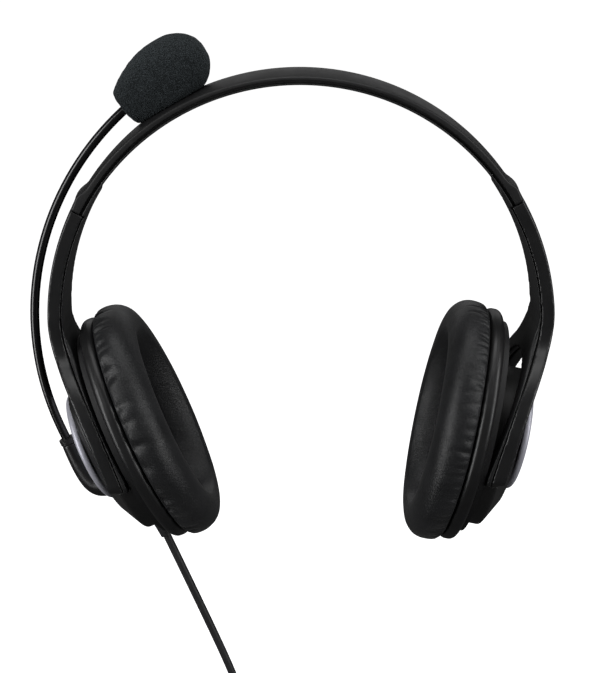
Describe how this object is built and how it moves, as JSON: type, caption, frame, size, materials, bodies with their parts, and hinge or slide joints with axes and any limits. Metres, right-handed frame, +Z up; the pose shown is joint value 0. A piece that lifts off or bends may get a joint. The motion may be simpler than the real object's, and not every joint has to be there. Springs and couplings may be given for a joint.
{
  "type": "office headset",
  "caption": "Over-ear office headset with a padded cup on each side, sliding arms, tilting cups, a turning microphone boom and a corded plug.",
  "frame": {"origin": "underside of the headband at its apex, on the centre plane", "axes": "+X towards the plain ear cup, -X towards the microphone boom, +Y front to back across the band, +Z up"},
  "size_m": [0.1997, 0.0792, 0.4446],
  "materials": {
    "black_satin": "satin moulded ABS",
    "black_matte": "fine matt moulded ABS",
    "dark_grey_housing": "satin moulded ABS",
    "silver_grey": "silver-grey paint over plastic, fine stepped rings",
    "gloss_black": "gloss flexible plastic tube",
    "leatherette": "soft leatherette with puckers at the seam",
    "acoustic_cloth": "thin knitted acoustic cloth",
    "foam": "open-cell foam windshield",
    "spring_steel": "bright spring steel",
    "wire_jacket": "thin PVC jacket",
    "cone_film": "thin formed film",
    "circuit_board": "solder mask",
    "chip_black": "moulded epoxy",
    "capsule_metal": "bright can",
    "cord_rubber": "matt flexible PVC",
    "tie_black": "hook and loop strap",
    "plug_plastic": "fine matt overmould",
    "plug_metal": "nickel plate"
  },
  "bodies": {
    "root": {"headband_shell": "black_satin", "headband_liner": "black_matte", "headband_spring": "spring_steel", "crossover_wire": "wire_jacket", "slider_detents": "spring_steel"},
    "left_arm": {"left_arm_outer_shell": "black_satin", "left_arm_inner_shell": "black_matte", "left_slider_strip": "spring_steel", "left_slider_rivets": "spring_steel", "left_pivot_pins": "spring_steel"},
    "right_arm": {"right_arm_outer_shell": "black_satin", "right_arm_inner_shell": "black_matte", "right_slider_strip": "spring_steel", "right_slider_rivets": "spring_steel", "right_pivot_pins": "spring_steel"},
    "left_cup": {"left_ear_cushion": "leatherette", "left_cushion_rim": "black_satin", "left_cup_frame": "black_matte", "left_cup_housing": "dark_grey_housing", "left_cup_cap": "silver_grey", "left_speaker_baffle": "black_matte", "left_speaker_cloth": "acoustic_cloth", "left_speaker_frame": "black_matte", "left_speaker_magnet": "spring_steel", "left_speaker_cone": "cone_film", "left_cup_screws": "spring_steel", "left_audio_board": "circuit_board", "left_board_chips": "chip_black", "left_boom_post": "black_matte", "cord_boot": "cord_rubber", "cord_cable": "cord_rubber", "cord_hank": "cord_rubber", "cord_tail": "cord_rubber", "cord_tie": "tie_black", "plug_body": "plug_plastic", "plug_shell": "plug_metal", "plug_tongue": "plug_plastic"},
    "right_cup": {"right_ear_cushion": "leatherette", "right_cushion_rim": "black_satin", "right_cup_frame": "black_matte", "right_cup_housing": "dark_grey_housing", "right_cup_cap": "silver_grey", "right_speaker_baffle": "black_matte", "right_speaker_cloth": "acoustic_cloth", "right_speaker_frame": "black_matte", "right_speaker_magnet": "spring_steel", "right_speaker_cone": "cone_film", "right_cup_screws": "spring_steel"},
    "boom": {"boom_hub": "black_satin", "boom_knuckle": "black_satin", "boom_collar": "black_satin", "boom_tube": "gloss_black", "mic_foam": "foam", "mic_holder": "black_matte", "mic_capsule": "capsule_metal"}
  },
  "joints": [
    {"name": "left_slider", "type": "hinge", "parent": "root", "child": "left_arm", "pos_m": [0, 0, -0.09], "axis": [0, -1, 0], "range_deg": [0, 15.6]},
    {"name": "right_slider", "type": "hinge", "parent": "root", "child": "right_arm", "pos_m": [0, 0, -0.09], "axis": [0, 1, 0], "range_deg": [0, 15.6]},
    {"name": "left_cup_tilt", "type": "hinge", "parent": "left_arm", "child": "left_cup", "pos_m": [-0.07181, 0, -0.14477], "axis": [0, 1, 0], "range_deg": [-0.8, 0.8]},
    {"name": "right_cup_tilt", "type": "hinge", "parent": "right_arm", "child": "right_cup", "pos_m": [0.07459, 0, -0.145], "axis": [0, -1, 0], "range_deg": [-8.7, 1.3]},
    {"name": "boom_pivot", "type": "hinge", "parent": "left_cup", "child": "boom", "pos_m": [-0.07913, 0, -0.15459], "axis": [0.9252, 0, 0.3795], "range_deg": [-130, 130]}
  ]
}
